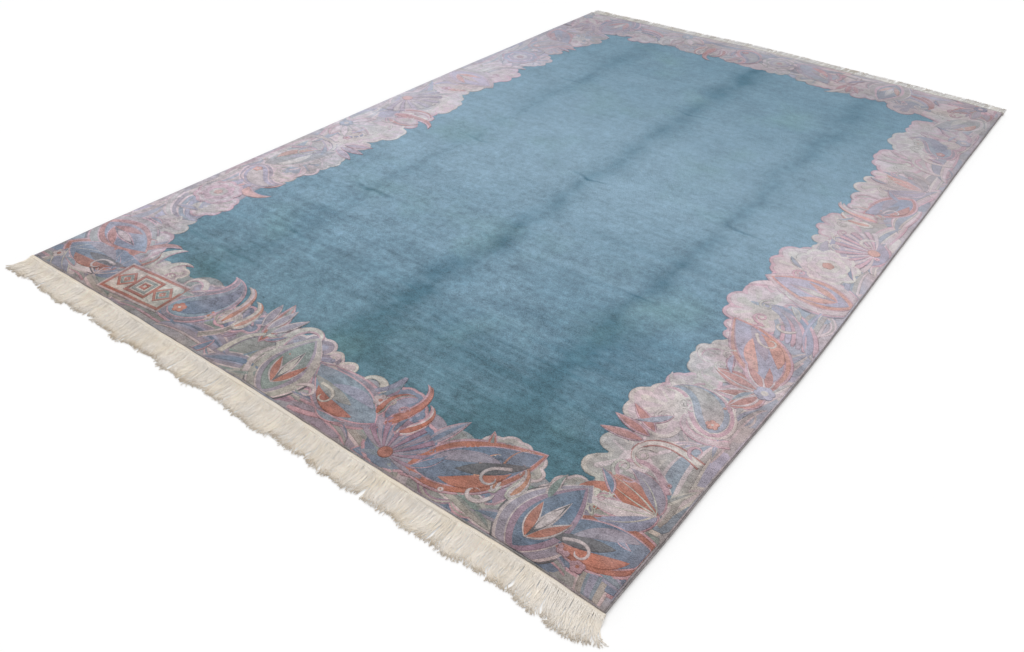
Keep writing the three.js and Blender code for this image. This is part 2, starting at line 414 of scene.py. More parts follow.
# open blossom: rounds of rounded petals, one within the other, with leaves under it
def peony(draw):
    for heading, bend in ((200, -50), (-20, 50), (140, 40), (40, -40)):
        nested(draw, (0, 100), heading, 124, 19, "leaf", [(0, "cool"), (5, "dark")], 4, bend)
    rounds = ((76, 9, "line"), (67, 9, "fill"), (52, 7, "line"), (45, 7, "warm"),
              (30, 6, "light"), (15, 5, "accent"))
    for order, (reach, count, role) in enumerate(rounds):
        outline = petals(reach, count, 0.18, uniform(0, 2))
        starPad(draw, role, (0, 104), outline, 6 + order, 45 if reach > 40 else 28)


# lotus: a fan of pointed petals, the outer ones first, over a little calyx
def lotus(draw):
    for heading, length, role in ((14, 112, "warm"), (166, 112, "warm"), (46, 124, "line"),
                                  (134, 124, "line"), (90, 140, "warm")):
        bands = [(0, "line"), (4, role), (14, "fill"), (20, "inner")]
        nested(draw, (0, 40), heading, length, 32, "leaf", bands, 4, (heading - 90) * -0.25)
    starPad(draw, "cool", (0, 40), petals(26, 6, 0.2), 9, 36)
    starPad(draw, "light", (0, 40), disc(11), 10, 20)


# paisley: a round head drawn out into a turning tail, in nested bands, with a small bloom
def paisley(draw):
    bands = [(0, "line"), (6, "warm"), (15, "line"), (18, "cool"), (30, "fill")]
    nested(draw, (-52, 62), 12, 205, 54, "drop", bands, 4, 40, 95, 32)
    starPad(draw, "accent", (-12, 72), petals(15, 5, 0.3, 0.4), 10, 30)
    starPad(draw, "light", (-12, 72), disc(5), 11, 14)


# licking flames, the middle one highest, out over the inner edge
def flames(draw):
    for u, heading, bend, curl, length, role in ((-34, 122, -20, -90, 130, "light"),
                                                 (34, 60, 30, 80, 124, "fill"),
                                                 (0, 96, 40, -120, 168, "warm")):
        bands = [(0, "line"), (4, role), (11, "accent")]
        nested(draw, (u, 98), heading, length, 21, "flame", bands, 5, bend, curl)


# leaves that spread from one stem, each with a pale midrib
def spray(draw):
    for heading, bend, length, role in ((24, 60, 132, "cool"), (156, -60, 132, "dark"),
                                        (60, 30, 150, "fill"), (120, -30, 150, "inner"),
                                        (90, 20, 128, "accent")):
        nested(draw, (0, 34), heading, length, 24, "leaf", [(0, "line"), (4, role)], 4, bend)
        nested(draw, (0, 40), heading, length * 0.8, 2.4, "flame", [(0, "light")], 7,
               bend * 0.8, count=12)


# scrolling vine: opposed curls in two yarns, with the tips of leaves between them
def vine(draw):
    for u, heading, bend, curl, rim, role in ((-96, 48, 20, 300, "line", "fill"),
                                              (96, 132, -20, -300, "fill", "line"),
                                              (-8, 96, 10, -240, "warm", "light")):
        for wide, which, order in ((12.5, rim, 4), (9.0, role, 5)):
            nested(draw, (u, 34), heading, 215, wide, "vine", [(0, which)], order, bend, curl, 40)
    for u, heading in ((-14, 114), (20, 72), (3, 93)):
        nested(draw, (u, 150), heading, 92, 14, "leaf", [(0, "line"), (4, "warm")], 6)


# folded ribbon: bands side by side that turn together
def ribbon(draw):
    for band, role in enumerate(("line", "fill", "line", "warm", "line", "inner", "line", "cool")):
        wide = 7.6 if band % 2 else 6.4
        nested(draw, (-96 + band * 4, 20 + band * 13), 2, 214 - band * 8, wide, "band",
               [(0, role)], 3 + band % 2, 30, 62, 24)


# ogive: a broad leaf on end in nested bands, its foot cut off by the rug's edge, leaves inside
def arch(draw):
    bands = [(0, "dark"), (4, "line"), (10, "fill"), (27, "line"), (31, "warm"), (44, "cool")]
    nested(draw, (0, -34), 90, 262, 88, "leaf", bands, 3, 10, -12, 28)
    for heading, length, role in ((58, 96, "accent"), (122, 96, "accent"), (90, 124, "dark")):
        bands = [(0, "line"), (4, role)]
        nested(draw, (0, 38), heading, length, 15, "leaf", bands, 9, (90 - heading) * 0.5)
    nested(draw, (0, 64), 90, 78, 10, "leaf", [(0, "light")], 11)


# broad leaf: nested bands, crescents along both sides and a curl at the middle
def broadLeaf(draw):
    bands = [(0, "line"), (5, "warm"), (15, "line"), (18, "cool")]
    nested(draw, (-96, 44), 22, 232, 62, "leaf", bands, 4, 24, count=26)
    for u, v, heading, bend, role in ((-62, 82, 44, -52, "inner"), (-34, 50, 2, 58, "accent"),
                                      (-20, 78, 22, 14, "dark")):
        nested(draw, (u, v), heading, 118, 14, "leaf", [(0, role)], 8, bend)
    nested(draw, (60, 116), 200, 96, 4.2, "vine", [(0, "light")], 10, -40, 330, 22)


# shell: rays that fan out of one point, two colours by turns, inside a scalloped rim
def shell(draw):
    starPad(draw, "line", (0, 84), petals(88, 22, 0.07), 3, 66)
    starPad(draw, "dark", (0, 84), petals(80, 22, 0.05), 4, 66)
    wide = 1.5 + 7.2 * np.linspace(0, 1, 9) ** 0.8
    for ray, heading in enumerate(np.linspace(-8, 188, 15)):
        start = (8 * math.cos(math.radians(heading)), 44)
        path = wander(start, heading, 104, (90 - heading) * 0.35, 0, len(wide))
        ribbonPad(draw, "warm" if ray % 2 else "fill", path, wide, 5 + ray % 2)
    starPad(draw, "accent", (0, 44), disc(17), 8, 24)


# Fret: square rings one inside the other, on a side or on a corner by turns, in a framed panel.
# A ring's last leg laps a little way over its first one; diagonal is a square's over its side.
def fret(draw):
    diagonal, lap = 1.41421, 0.06
    panels = ((62, 0, "line"), (56, 5, "accent"), (47, 14, "light"))
    for order, (half, inset, role) in enumerate(panels):
        ends = [(inset - 112, 86), (112 - inset, 86)]
        ribbonPad(draw, role, *straightened(ends, half), 7 + order)
    for u, turn, size in ((-66, 45, 0.62), (0, 0, 1), (66, 45, 0.62)):
        at = np.radians(turn + 45 + 90 * np.arange(6))
        for half, wide, role in ((33, 4.6, "accent"), (20, 3.8, "cool"), (8, 3.6, "accent")):
            reach = half * size * diagonal
            corners = np.array((u, 86)) + reach * np.stack([np.cos(at), np.sin(at)], axis=1)
            corners[-1] = corners[0] + (corners[1] - corners[0]) * lap
            ribbonPad(draw, role, *straightened(corners, wide * size ** 0.5), 11)


# Yarns of the border, in sRGB from 0 to 255, and the sets of them that a motif may be knotted in.
yarns = {
    "coral": (179, 115, 95),
    "salmon": (198, 143, 117),
    "rose": (192, 154, 160),
    "blush": (200, 183, 181),
    "plum": (150, 124, 138),
    "mauve": (151, 141, 151),
    "lilac": (151, 151, 168),
    "slate": (114, 128, 147),
    "skyGrey": (134, 149, 160),
    "greige": (150, 150, 145),
    "sage": (137, 149, 142),
    "sand": (170, 164, 155),
    "cream": (198, 190, 178),
    "charcoal": (104, 101, 103),
}

toneRoles = "line fill inner light dark cool warm accent".split()
toneRows = {
    "ember": "rose greige mauve blush charcoal slate coral coral",
    "rust": "rose blush coral cream mauve lilac coral coral",
    "amber": "rose blush salmon cream mauve lilac salmon salmon",
    "dusk": "rose slate lilac cream greige skyGrey mauve coral",
    "plum": "blush mauve lilac blush charcoal slate plum coral",
    "stone": "blush sand greige cream charcoal sage mauve coral",
    "heather": "rose mauve skyGrey blush slate lilac plum coral",
    "mist": "cream sand blush cream lilac skyGrey rose salmon",
    "shell": "cream blush cream cream mauve greige blush salmon",
    "petal": "rose blush cream cream lilac skyGrey rose salmon",
    "haze": "blush sand skyGrey cream greige lilac mauve salmon",
}
tones = {name: dict(zip(toneRoles, row.split())) for name, row in toneRows.items()}

# Each side of the border runs from one corner of the pile, counterclockwise: corner, and angle.
sides = {
    "near": ((-1, -1), 0),
    "right": ((1, -1), 90),
    "far": ((1, 1), 180),
    "left": ((-1, 1), 270),
}


# a motif's place, metres along a side and inwards from its edge, and the yarns of its roles
def station(side, along, inward=0.0, scale=1.0, tilt=0.0, mirror=1, name=None):
    corner, angle = sides[side]
    turn = math.radians(angle)
    x = corner[0] * rugShape["pileHalfWidth"] + along * math.cos(turn) - inward * math.sin(turn)
    y = corner[1] * rugShape["halfLength"] + along * math.sin(turn) + inward * math.cos(turn)
    return {"origin": (x, y), "angle": angle + tilt, "scale": scale, "mirror": mirror,
            "tones": tones.get(name, {})}


# places along a side, every step, from start to end short of its far corner
def places(side, start, end, step):
    half = rugShape["pileHalfWidth" if side in ("near", "far") else "halfLength"]
    return np.arange(start, 2 * half - end, step)


# broad patches of ground colour under the motifs of a side
def patches(side, yarnNames, step):
    for along in places(side, 0.06, 0, step):
        draw = station(side, along, uniform(0.03, 0.16), uniform(0.8, 1.3), uniform(-40, 40))
        outline = petals(74, random.integers(3, 6), uniform(0.1, 0.25), uniform(0, 3))
        yarn = choice(yarnNames.split())
        starPad(draw, yarn, (0, 0), outline, random.integers(0, 2), 36)


tendrilShape = {
    "stations": 26,
    "wide": 10.5,  # half width, in millimetres
    "rim": 4.5,  # how much narrower the upper band is
    "orders": (0.6, 1.4),  # layers of the lower and the upper band
    "upper": ["mauve", "sand", "skyGrey"],  # its yarns
}


# Long bands that wind along a side from the outer edge towards the inner one and back, in two
# yarns: heading is swing cos(2 pi turns t), and the path is closed off to points at both ends.
def tendrils(side, yarnNames, step):
    lower, upper = tendrilShape["orders"]
    for place, along in enumerate(places(side, 0.10, 0.34, step)):
        draw = station(side, along, uniform(0.05, 0.12))
        long, swing = uniform(300, 420), uniform(48, 75)
        t = np.linspace(0, 1, tendrilShape["stations"])
        turns = uniform(0.8, 1.2) * t + 0.5 * (place % 2)
        turn = np.radians(swing * np.cos(2 * np.pi * turns))
        path = np.cumsum(np.stack([np.cos(turn), np.sin(turn)], axis=1), axis=0) * long / len(t)
        wide = tendrilShape["wide"] * np.sin(np.pi * t) ** 0.5
        ribbonPad(draw, choice(yarnNames.split()), path, wide, lower)
        ribbonPad(draw, choice(tendrilShape["upper"]), path, wide - tendrilShape["rim"], upper)


# scalloped clouds of several sizes that make the inner edge of the border
def clouds(side, names, step, size):
    for along in places(side, 0.19, 0.14, step):
        along += uniform(-0.35, 0.35) * step
        scale = size * uniform(0.62, 1.25)
        inward = cloudMiddle / 1000 * (1 - scale) + uniform(-0.030, 0.012)
        draw = station(side, along, inward, scale, uniform(-22, 22), choice([-1, 1]),
                       choice(names.split()))
        cloud(draw, random.integers(5, 9))


# horns and leaf tips that reach out over the field from under the clouds
def horns(side, names, step):
    for along in places(side, 0.22, 0.16, step):
        along += uniform(-0.4, 0.4) * step
        draw = station(side, along, 0, uniform(0.9, 1.15), uniform(-14, 14), choice([-1, 1]),
                       choice(names.split()))
        kind = choice(["horn", "tip", "curl"])
        if kind == "tip":
            bands = [(0, "line"), (5, "warm"), (14, "fill")]
            nested(draw, (0, 110), 84, 158, 24, "leaf", bands, 3, -14)
        elif kind == "horn":
            bands = [(0, "line"), (6, choice(["accent", "light"]))]
            nested(draw, (0, 116), 110, 150, 30, "flame", bands, 3, -30, -60)
            nested(draw, (40, 120), 92, 116, 24, "flame", bands, 3, -30, -80)
        else:
            bands = [(0, "line"), (5, "light")]
            nested(draw, (0, 120), 64, 205, 19, "flame", bands, 3, 70, 230, 30)


# thin curls, small leaves, blooms and round pearls strewn over a side: of every six shapes the
# first is a bloom, the fourth a pearl, the fifth a curl and the others leaves
def scatter(side, names, step):
    for place, along in enumerate(places(side, 0.05, 0.05, step)):
        draw = station(side, along, uniform(0.03, 0.19), uniform(0.8, 1.3),
                       uniform(0, 360), choice([-1, 1]), choice(names.split()))
        if place % 6 == 0:
            starPad(draw, "line", (0, 0), petals(17, 5, 0.3, uniform(0, 2)), 7, 35)
            starPad(draw, "accent", (0, 0), disc(17 * 0.34), 8, 16)
        elif place % 6 == 3:
            starPad(draw, "line", (0, 0), disc(9), 7, 18)
            starPad(draw, "accent", (0, 0), disc(4.5), 8, 12)
        elif place % 6 == 4:
            nested(draw, (0, 0), 0, 96, 5.5, "drop", [(0, "line")], 7, 50, 250, 20)
        else:
            nested(draw, (0, 0), 0, 74, 11, "leaf", [(0, "line"), (3, "cool")], 7, 40)


# long leaves that lie low along the outer edge, one over the other, under the motifs
def swells(side, names, step):
    for along in places(side, 0.10, 0, step):
        along += uniform(-0.3, 0.3) * step
        name = choice(names.split())
        draw = station(side, along, 0, uniform(0.9, 1.4), uniform(-10, 14), choice([-1, 1]), name)
        bands = [(0, "line"), (6, "fill"), (17, "inner"), (24, "cool")]
        nested(draw, (-120, 14), 26, 240, uniform(28, 42), "leaf", bands, 1, -20, -46)


# Motif, metres along the near side, scale, tilt in degrees, mirror, tones. Later rows lie on top.
nearMotifs = [
    (ribbon, 1.22, 1.30, 8, 1, "heather"),
    (broadLeaf, 0.10, 1.35, -24, 1, "ember"),
    (flames, 0.16, 1.30, -22, 1, "ember"),
    (spray, 0.24, 1.25, 10, 1, "plum"),
    (paisley, 0.60, 1.40, 14, 1, "dusk"),
    (vine, 0.80, 1.15, -6, 1, "stone"),
    (flames, 0.72, 1.15, 10, -1, "shell"),
    (arch, 1.00, 1.05, 8, 1, "stone"),
    (broadLeaf, 1.22, 1.30, 20, -1, "dusk"),
    (shell, 1.37, 1.05, -12, 1, "heather"),
    (flames, 1.30, 1.10, -8, -1, "ember"),
    (broadLeaf, 1.58, 1.40, 10, 1, "ember"),
    (arch, 1.76, 1.10, -10, 1, "plum"),
    (flames, 1.66, 1.00, 12, 1, "shell"),
    (fret, 0.41, 1.10, 5, 1, "stone"),
]


# the same rows for the other sides, made as they are asked for: kinds and tones by turns
def motifsByTurns(side, plan):
    kinds, names = plan["kinds"], plan["tones"].split()
    for place, along in enumerate(places(side, 0.05, 0.10, 0.165)):
        tilt = -40 if place == 0 else uniform(-14, 14)
        along += 0.05 * (place > 0)
        scale = plan["scale"] * uniform(0.9, 1.15)
        yield (kinds[place % len(kinds)], along, scale, tilt, choice([-1, 1]),
               names[place % len(names)])


# What each layer of a side is given: yarns or names of tones to choose from, and the step in
# metres from one shape to the next; for clouds also their size.
nearPlan = {
    "patches": ("slate mauve greige charcoal sage lilac plum greige", 0.07),
    "tendrils": ("rose plum", 0.21),
    "horns": ("ember shell dusk stone", 0.19),
    "clouds": ("dusk shell plum stone", 0.19, 1.1),
    "swells": ("dusk plum stone ember", 0.15),
    "tones": "ember dusk stone",
}
otherPlan = {
    "patches": ("skyGrey cream sand greige blush lilac sand", 0.08),
    "tendrils": ("rose blush sand", 0.19),
    "horns": ("petal ember shell ember haze", 0.30),
    "swells": ("mist petal shell haze", 0.16),
}
plans = {
    "near": nearPlan,
    "right": otherPlan | {
        "clouds": ("shell mist petal petal", 0.15, 1.08), "scale": 1.12,
        "kinds": (broadLeaf, spray, vine, paisley, lotus, broadLeaf, ribbon, arch, peony, shell,
                  flames),
        "tones": "ember rust rust mist rust amber dusk amber shell petal mist ember haze mist "
                 "dusk petal shell"},
    "far": otherPlan | {
        "clouds": ("haze mist petal haze", 0.15, 1.08), "scale": 1.02,
        "kinds": (lotus, ribbon, arch, vine, broadLeaf, peony, paisley, flames),
        "tones": "ember rust mist ember dusk stone"},
    "left": otherPlan | {
        "clouds": ("shell mist petal haze", 0.15, 1.08), "scale": 1.12,
        "kinds": (lotus, vine, broadLeaf, paisley, peony, ribbon, arch, spray, shell, flames),
        "tones": "petal haze ember mist dusk shell haze"},
}


# all layers of a side, the lowest first
def dress(side, plan):
    patches(side, *plan["patches"])
    tendrils(side, *plan["tendrils"])
    horns(side, *plan["horns"])
    clouds(side, *plan["clouds"])
    swells(side, *plan["swells"])
    motifs = nearMotifs if side == "near" else motifsByTurns(side, plan)
    for motif, along, scale, tilt, mirror, name in motifs:
        motif(station(side, along, 0, scale, tilt, mirror, name))
    scatter(side, plan["tones"], 0.10)


for side, plan in plans.items():
    dress(side, plan)
print("border:", sum(len(parts) for parts in yarnSkins.values()), "pads of pile")


# The pile itself: a slab on a grid, its top rounded at the rim, its underside over the floor.
slabShape = {
    "cell": 0.0190,
    "rimStops": [0.0, 0.0003, 0.0008, 0.0015, 0.0024],  # grid lines over the rim, from the edge
}

# The ground of the border: a ring laid round the field, closed both ways. Its inner edge waves by
# the sum of reach |sin(turns angle / 2)|^0.6
groundShape = {
    "width": 0.176,
    "lobes": [(41, 0.016), (67, 0.010), (97, 0.007)],  # turns round the rug, and their reach
    "count": 720,  # steps round the rug
    "height": 0.00028,  # over the pile
    "across": 13,
    "first": 0.025,  # the first row in, as a share of the width
}


# its rows lie one within the other, the first and the last with their foot in the pile
def borderGround():
    share = np.linspace(0, 4, groundShape["count"], endpoint=False)
    side, f = share.astype(int), share % 1
    corners = np.array([(-1, -1), (1, -1), (1, 1), (-1, 1), (-1, -1)])
    outlineX, outlineY = (corners[side] + (corners[side + 1] - corners[side]) * f[:, None]).T
    wave = sum(reach * np.abs(np.sin(np.pi * share * turns / 4)) ** 0.6
               for turns, reach in groundShape["lobes"])
    across = np.linspace(groundShape["first"], 1, groundShape["across"])[:, None]
    rim = np.array(slabShape["rimStops"])[1:, None] + 0 * wave
    inset = np.concatenate([rim[:1], rim, across * (groundShape["width"] + wave)])
    inset = np.concatenate([inset, inset[-1:]])
    x = outlineX * (rugShape["pileHalfWidth"] - inset)
    y = outlineY * (rugShape["halfLength"] - inset)
    height = np.full(x.shape, groundShape["height"])
    height[0] = height[-1] = -padShape["foot"]
    rows, columns = x.shape
    grid = np.arange(rows * columns).reshape(rows, columns)
    below, ahead = np.roll(grid, -1, axis=0), np.roll(grid, -1, axis=1)
    quads = np.stack([grid, ahead, np.roll(below, -1, axis=1), below], axis=-1).reshape(-1, 4)
    vertices = placed(x, y, pileTop(x, y) + height).reshape(-1, 3)
    return makePiece("border_ground", [(vertices, quads, np.zeros((0, 3), int))])


# where the slab's grid lines lie: close together over the rim, and even between
def gridStops(half):
    rim = np.array(slabShape["rimStops"])
    cells = math.ceil(2 * (half - rim[-1]) / slabShape["cell"])
    middle = np.linspace(-half + rim[-1], half - rim[-1], cells + 1)
    return np.concatenate([-half + rim[:-1], middle, half - rim[:-1][::-1]])


# top and underside have one vertex for each crossing, and a wall joins their outer rows
def knottedPile():
    x, y = np.meshgrid(gridStops(rugShape["pileHalfWidth"]), gridStops(rugShape["halfLength"]))
    rows, columns = x.shape
    top = placed(x, y, pileTop(x, y)).reshape(-1, 3)
    under = placed(x, y, lift(x, y)).reshape(-1, 3)
    grid = np.arange(rows * columns).reshape(rows, columns)
    face = np.stack([grid[:-1, :-1], grid[:-1, 1:], grid[1:, 1:], grid[1:, :-1]], axis=-1)
    face = face.reshape(-1, 4)
    rim = np.concatenate([grid[0, :-1], grid[:-1, -1], grid[-1, :0:-1], grid[:0:-1, 0]])
    after, count = np.roll(rim, -1), rows * columns
    wall = np.stack([rim + count, after + count, after, rim], axis=-1)
    quads = np.concatenate([face, wall, face[:, ::-1] + count])
    skin = (np.concatenate([top, under]), quads, np.zeros((0, 3), int))
    piece = makePiece("pile_field", [skin])
    onBack = np.zeros(len(quads), np.int32)
    onBack[len(face) + len(wall):] = 1
    piece.data.polygons.foreach_set("material_index", onBack)
    return piece


# Wool cords along the sides and cotton headings at the ends, both wrapped in slanting turns.
bindings = {
    "selvedge": {"across": 0.0042, "high": 0.0086, "pitch": 0.0048, "swell": 0.09, "slant": 1.0,
                 "tuck": 0.0010,  # how far the cord is sewn into the pile's edge
                 "power": 1.0},
    "heading": {"across": 0.0140, "high": 0.0090, "pitch": 0.0042, "swell": 0.05, "slant": 0.6,
                "tuck": 0.0015,
                "power": 0.4},  # under 1 the oval's corners are fuller
    "flat": 0.35,  # height of the oval's middle, as a share of the whole
    "loose": ((0.05, 37, 0), (0.04, 91, 2)),  # slow swelling along a binding: depth, rate, phase
    "perTurn": 2,
    "round": 6,
}


# sum of waves along a line: depth sin(rate at + phase)
def waves(at, rows):
    return sum(depth * np.sin(at * rate + phase) for depth, rate, phase in rows)


# A binding's section: an oval with a flat foot, its cos and sin raised to a power, and all of it
# grown by 1 + swell cos(turns + slant angle). It is carried along a side of the rug, where sign
# is -1 on the left and 1 on the right, or along an end, where it is -1 near and 1 far.
def binding(kind, sign, name):
    shape = bindings[kind]
    onSide = kind == "selvedge"
    half = rugShape["halfLength" if onSide else "halfWidth"]
    edge = rugShape["pileHalfWidth" if onSide else "halfLength"]
    count = round(2 * half / shape["pitch"] * bindings["perTurn"])
    along = np.linspace(-half, half, count + 1)[:, None]
    angle = np.linspace(0, 2 * np.pi, bindings["round"], endpoint=False)[None]
    turns = 2 * np.pi * along / shape["pitch"] + shape["slant"] * angle
    grown = 1 + shape["swell"] * np.cos(turns) + waves(along, bindings["loose"])
    flat = bindings["flat"] * shape["high"]
    sideways, upward = [np.sign(part) * np.abs(part) ** shape["power"]
                        for part in (np.cos(angle), np.sin(angle))]
    height = flat + np.maximum((shape["high"] - flat) * grown * upward, -flat)
    out = sign * (edge - shape["tuck"] + shape["across"] / 2)
    out = out + shape["across"] / 2 * grown * sideways
    along = along + 0 * angle
    rim = sign * edge + 0 * along
    if onSide:
        points = placed(out, along, lift(rim, along) + height)
    else:
        points = placed(along, out, lift(along, rim) + height)
    return makePiece(name, [closedSkins(points[None], flipped=not onSide)])


# Fringes: loose cotton strands left from the warps, two layers deep, wavy and curling at the tips.
# A pair gives the least and the most that a strand may have, where nothing else is said.
fringeShape = {
    "near": {"end": -1, "strands": 3000, "left": 0.020, "right": 0.036, "long": 0.076,
             "uneven": 1.0, "tones": (0.9, 1.0), "tip": 3.6},
    "far": {"end": 1, "strands": 1300, "left": 0.004, "right": 0.005, "long": 0.072,
            "uneven": 0.35, "tones": (1.0, 2.2), "tip": 2.2},
    # tones: how unlike its neighbours each strand and each bunch is; tip: how much darker its end,
    # partly dirt and partly painted shade
    "swing": 0.070,  # how far in from a corner the strands still swing out
    "stations": 9,
    "round": 3,
    "thick": 0.0018,
    "thickness": (0.8, 1.15),
    "taper": 0.18,  # how much thinner the tip is
    "bunches": 170,  # strands gather a little towards the middles of these
    "gather": (0.1, 1.2),
    "reach": 0.007,  # but lean no farther than this
    "lean": (0.4, 1.2),  # at the heading, and how much it grows from there
    "stray": 0.001,  # from their even places along the heading
    "drift": ((0.06, 9), (0.07, 31)),  # waves from strand to strand: depth and rate
    "wave": (0.05, 0.30),  # how far a strand's heading swings, in radians
    "turns": (0.8, 2.2),  # and how often along the strand
    "curl": 1.2,  # how far its tip turns, in radians, and that of its bunch
    "bunchCurl": 0.9,
    "longer": ((0.055, 23, 0), (0.045, 67, 1)),  # the same of the length, with a phase
    "bunchLonger": (-0.06, 0.05),
    "strandLonger": (-0.09, 0.03),
    "from": (0.42, 0.58),  # where it leaves the heading, as a share of that one's width
    "onHeading": 0.0084,  # height at which it does
    "slope": 0.34,  # share of a strand over which it comes down to the floor
    "settling": 1.3,  # over 1 it comes down faster at first
    "layers": 0.0015,  # height of the upper layer over the lower one, at the heading
    "thinning": 0.55,  # of that, towards the tips
    "humps": 0.0008,
    "humpCount": 2.5,
}


# a strand's heading is lean + wave sin(2 pi (turns t + phase)) + curl t^4, and it steps along that
def fringe(end, name):
    shape, both = fringeShape[end], fringeShape
    count, stations, bunches = shape["strands"], both["stations"], both["bunches"]
    halfWidth = rugShape["halfWidth"]

    def draw(low, high):
        return uniform(low, high, (count, 1))

    across = np.linspace(-1, 1, count)[:, None] * (halfWidth - both["stray"])
    across += draw(-both["stray"], both["stray"])
    ends = np.sort(uniform(-halfWidth, halfWidth, bunches))
    which = np.clip(np.searchsorted(ends, across), 1, bunches - 1)
    bunch = (ends[which - 1] + ends[which]) / 2
    t = np.linspace(0, 1, stations)[None]
    mid = (t[:, 1:] + t[:, :-1]) / 2
    swing = (shape["right"] * np.exp((across - halfWidth) / both["swing"])
             - shape["left"] * np.exp((-across - halfWidth) / both["swing"]))
    gather = np.clip(bunch - across, -both["reach"], both["reach"]) * draw(*both["gather"])
    lean = (swing + gather) / shape["long"] * (both["lean"][0] + both["lean"][1] * mid)
    drift = waves(across, [(*both["drift"][0], shape["end"]), (*both["drift"][1], 0)])
    wave = draw(*both["wave"]) * np.sin(2 * np.pi * (draw(*both["turns"]) * mid + draw(0, 1)))
    curl = draw(-both["curl"], both["curl"])
    curl = (curl + uniform(-both["bunchCurl"], both["bunchCurl"], bunches)[which]) * mid ** 4
    turn = lean + drift + wave + curl
    longer = waves(across, both["longer"]) + uniform(*both["bunchLonger"], bunches)[which]
    long = shape["long"] * (1 + shape["uneven"] * (longer + draw(*both["strandLonger"])))
    steps = np.stack([np.sin(turn), np.cos(turn)])
    steps = np.concatenate([np.zeros((2, count, 1)), np.cumsum(steps, axis=2)], axis=2)
    x, out = steps * long / (stations - 1)
    x = across + x
    out += bindings["heading"]["across"] * draw(*both["from"])
    y = shape["end"] * (rugShape["halfLength"] + rugShape["gap"] + out)
    radius = both["thick"] / 2 * draw(*both["thickness"]) * (1 - both["taper"] * t ** 2)
    rise = both["layers"] * draw(0, 1) * (1 - both["thinning"] * t)
    rise += both["humps"] * draw(0, 1) * np.sin(np.pi * t * both["humpCount"] + draw(0, 6)) ** 2
    rise += (both["onHeading"] - rise) * np.clip(1 - t / both["slope"], 0, 1) ** both["settling"]
    side = np.stack([np.gradient(y, axis=1), -np.gradient(x, axis=1)])
    side = (side / np.hypot(*side))[..., None]
    angle = np.linspace(0, 2 * np.pi, both["round"], endpoint=False) + np.pi / 6
    aside, upward = radius[..., None] * np.cos(angle), radius[..., None] * np.sin(angle)
    points = placed(x[..., None] + side[0] * aside, y[..., None] + side[1] * aside,
                    (radius + rise)[..., None] + upward)
    own, shared = shape["tones"]
    # the end of a strand is darker: partly dirt, partly painted shade
    tone = draw(-1, 1) * own + uniform(-1, 1, bunches)[which] * shared - shape["tip"] * t ** 4
    tone = np.repeat(tone, both["round"], axis=1)
    tone = np.concatenate([tone, tone[:, :1], tone[:, -1:]], axis=1)
    return makePiece(name, [closedSkins(points)], {"tone": [tone.ravel()]})


# A value in a node tree. Arithmetic with other values or plain numbers puts math nodes down.
class Value:
    def __init__(self, tree, socket):
        self.tree = tree
        self.socket = socket

    def __add__(self, other):
        return calc("ADD", self, other)

    def __sub__(self, other):
        return calc("SUBTRACT", self, other)

    def __rsub__(self, other):
        return calc("SUBTRACT", other, self)

    def __mul__(self, other):
        return calc("MULTIPLY", self, other)

    def __abs__(self):
        return calc("ABSOLUTE", self)

    # another output of the same node
    def beside(self, output):
        return Value(self.tree, self.socket.node.outputs[output])

    __radd__ = __add__
    __rmul__ = __mul__


# feeds a socket with a value or a plain number
def feed(socket, value):
    if isinstance(value, Value):
        value.tree.links.new(value.socket, socket)
    else:
        socket.default_value = value


# one node: its settings made, its inputs fed, and one output back; the tree is that of a value
# among the inputs, unless it is given
def putNode(kind, inputs, output=0, tree=None, **settings):
    tree = tree or next(value.tree for value in inputs.values() if isinstance(value, Value))
    node = tree.nodes.new("ShaderNode" + kind)
    for name, setting in settings.items():
        setattr(node, name, setting)
    for label, value in inputs.items():
        feed(node.inputs[label], value)
    return Value(tree, node.outputs[output])


# arithmetic on values and plain numbers
def calc(operation, *values):
    return putNode("Math", dict(enumerate(values)), operation=operation)


# a colour or a place times a number
def scaled(colour, share):
    return putNode("VectorMath", {0: colour, "Scale": share}, operation="SCALE")


# two of them multiplied, part by part
def multiplied(first, second):
    return putNode("VectorMath", {0: first, 1: second}, operation="MULTIPLY")


# a value moved from one range to another, and kept within it unless clamp is off
def remap(value, given, wanted=(0.0, 1.0), clamp=True, smooth=False):
    labels = ("Value", "From Min", "From Max", "To Min", "To Max")
    return putNode("MapRange", dict(zip(labels, (value, *given, *wanted))), "Result", clamp=clamp,
                   interpolation_type="SMOOTHSTEP" if smooth else "LINEAR")


noiseSpread = (0.3, 0.7)  # the plain noise stays about within these
white = (1.0, 1.0, 1.0, 1.0)


# noise from about low to about high: cells to a metre, how finely and roughly they break up, and
# how the place is first stretched and then shifted
def noise(place, low, high, cells, detail, rough=0.5, stretch=None, shift=None):
    if stretch:
        place = multiplied(place, stretch)
    if shift:
        place = putNode("VectorMath", {0: place, 1: shift}, operation="ADD")
    inputs = {"Vector": place, "Scale": cells, "Detail": detail, "Roughness": rough}
    return remap(putNode("TexNoise", inputs, "Fac"), noiseSpread, (low, high), clamp=False)


# 6 and 7 are the node's two colour inputs, and 2 its colour output
def mixColour(share, first, second):
    return putNode("Mix", {"Factor": share, 6: first, 7: second}, 2, data_type="RGBA")


# x and y of a place
def separated(place):
    x = putNode("SeparateXYZ", {0: place}, "X")
    return x, x.beside("Y")


# distance inwards from the nearest edge of the rug
def fromEdge(x, y):
    return calc("MINIMUM", rugShape["halfWidth"] - abs(x), rugShape["halfLength"] - abs(y))


# sRGB from 0 to 255, to the linear colour that a shader takes
def linear(colour):
    share = np.array(colour) / 255
    light = np.where(share <= 0.04045, share / 12.92, ((share + 0.055) / 1.055) ** 2.4)
    return (*[float(value) for value in light], 1.0)


